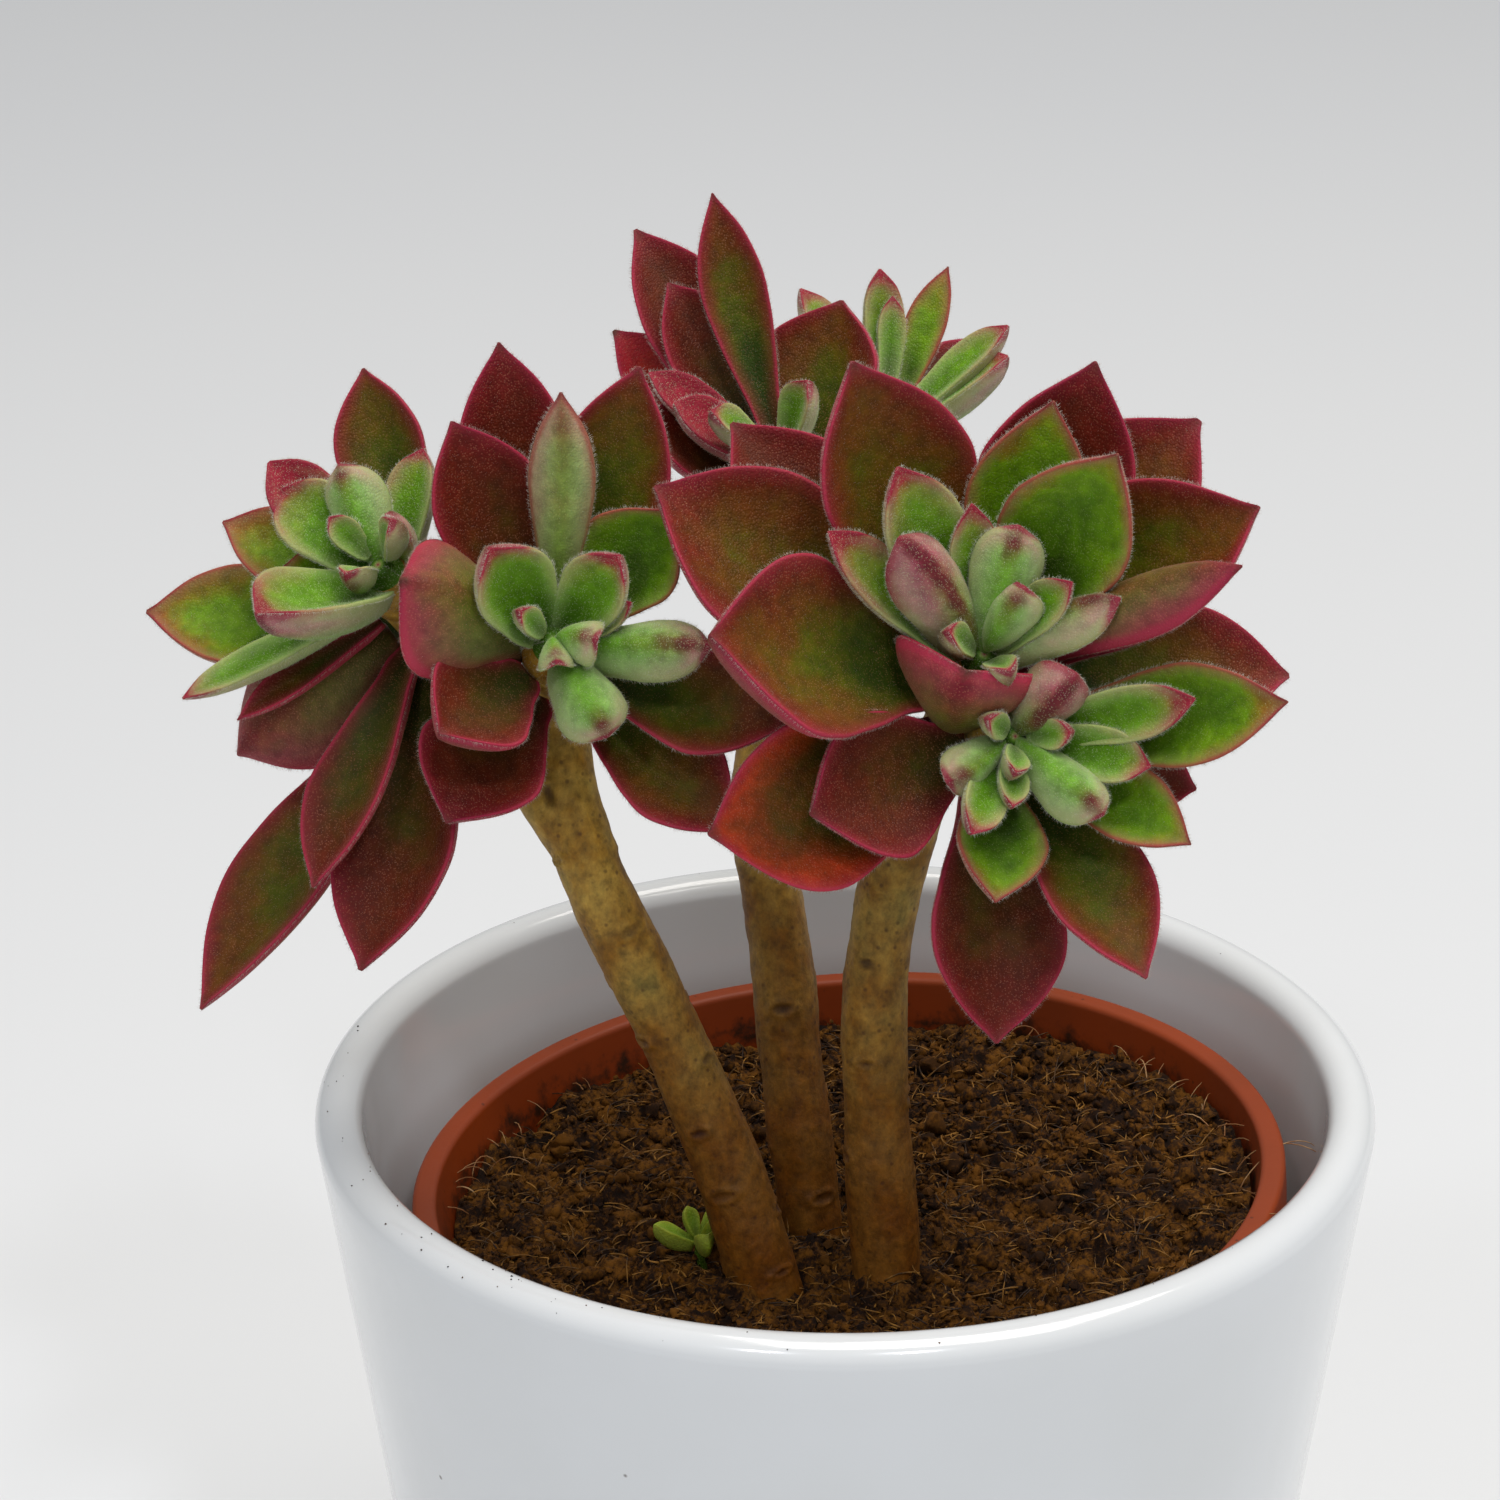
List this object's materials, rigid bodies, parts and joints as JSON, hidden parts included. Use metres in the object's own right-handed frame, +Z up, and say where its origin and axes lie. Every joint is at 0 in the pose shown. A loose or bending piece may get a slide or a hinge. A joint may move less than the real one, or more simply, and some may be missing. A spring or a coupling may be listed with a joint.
{
  "type": "potted succulent",
  "caption": "Potted succulent: leaning stems topped by rosettes of pointed, hairy, green to maroon leaves, in soil in a plastic nursery pot inside a plain glazed pot.",
  "frame": {"origin": "middle of the glazed pot's flat foot", "axes": "+Z up, +X to the right and +Y to the back, seen from the front of the plant, where its two nearest rosettes face"},
  "size_m": [0.1639, 0.145, 0.2457],
  "materials": {
    "glaze": "gloss",
    "nursery_plastic": "satin",
    "potting_soil": "matte",
    "stem_bark": "matte",
    "young_leaves": "matte",
    "leaf_green": "matte",
    "leaf_olive": "matte",
    "leaf_maroon": "matte",
    "leaf_red": "matte"
  },
  "bodies": {
    "root": {"outer_pot": "glaze", "inner_pot": "nursery_plastic", "soil": "potting_soil", "sprout": "young_leaves", "stem_left": "stem_bark", "stem_middle": "stem_bark", "stem_right": "stem_bark", "leaf_right_01": "leaf_olive", "leaf_right_02": "leaf_olive", "leaf_right_03": "leaf_maroon", "leaf_right_04": "leaf_olive", "leaf_right_05": "leaf_maroon", "leaf_right_06": "leaf_green", "leaf_right_07": "leaf_green", "leaf_right_08": "leaf_olive", "leaf_right_09": "leaf_olive", "leaf_right_10": "leaf_maroon", "leaf_right_11": "leaf_olive", "leaf_right_12": "leaf_red", "bud_right": "young_leaves", "leaf_lower_right_01": "leaf_maroon", "leaf_lower_right_02": "leaf_red", "leaf_lower_right_03": "leaf_green", "leaf_lower_right_04": "leaf_maroon", "leaf_lower_right_05": "leaf_green", "leaf_lower_right_06": "leaf_maroon", "leaf_lower_right_07": "leaf_green", "leaf_lower_right_08": "leaf_olive", "bud_lower_right": "young_leaves", "leaf_inner_left_01": "leaf_maroon", "leaf_inner_left_02": "leaf_maroon", "leaf_inner_left_03": "leaf_green", "leaf_inner_left_04": "leaf_olive", "leaf_inner_left_05": "leaf_green", "leaf_inner_left_06": "leaf_red", "leaf_inner_left_07": "leaf_maroon", "leaf_inner_left_08": "leaf_maroon", "leaf_inner_left_09": "leaf_olive", "leaf_inner_left_10": "leaf_olive", "bud_inner_left": "young_leaves", "leaf_outer_left_01": "leaf_green", "leaf_outer_left_02": "leaf_green", "leaf_outer_left_03": "leaf_olive", "leaf_outer_left_04": "leaf_green", "leaf_outer_left_05": "leaf_maroon", "leaf_outer_left_06": "leaf_maroon", "leaf_outer_left_07": "leaf_maroon", "leaf_outer_left_08": "leaf_maroon", "leaf_outer_left_09": "leaf_olive", "bud_outer_left": "young_leaves", "leaf_back_left_01": "leaf_maroon", "leaf_back_left_02": "leaf_olive", "leaf_back_left_03": "leaf_maroon", "leaf_back_left_04": "leaf_red", "leaf_back_left_05": "leaf_olive", "leaf_back_left_06": "leaf_maroon", "bud_back_left": "young_leaves", "leaf_back_right_01": "leaf_green", "leaf_back_right_02": "leaf_maroon", "bud_back_right": "young_leaves"}
  },
  "joints": []
}
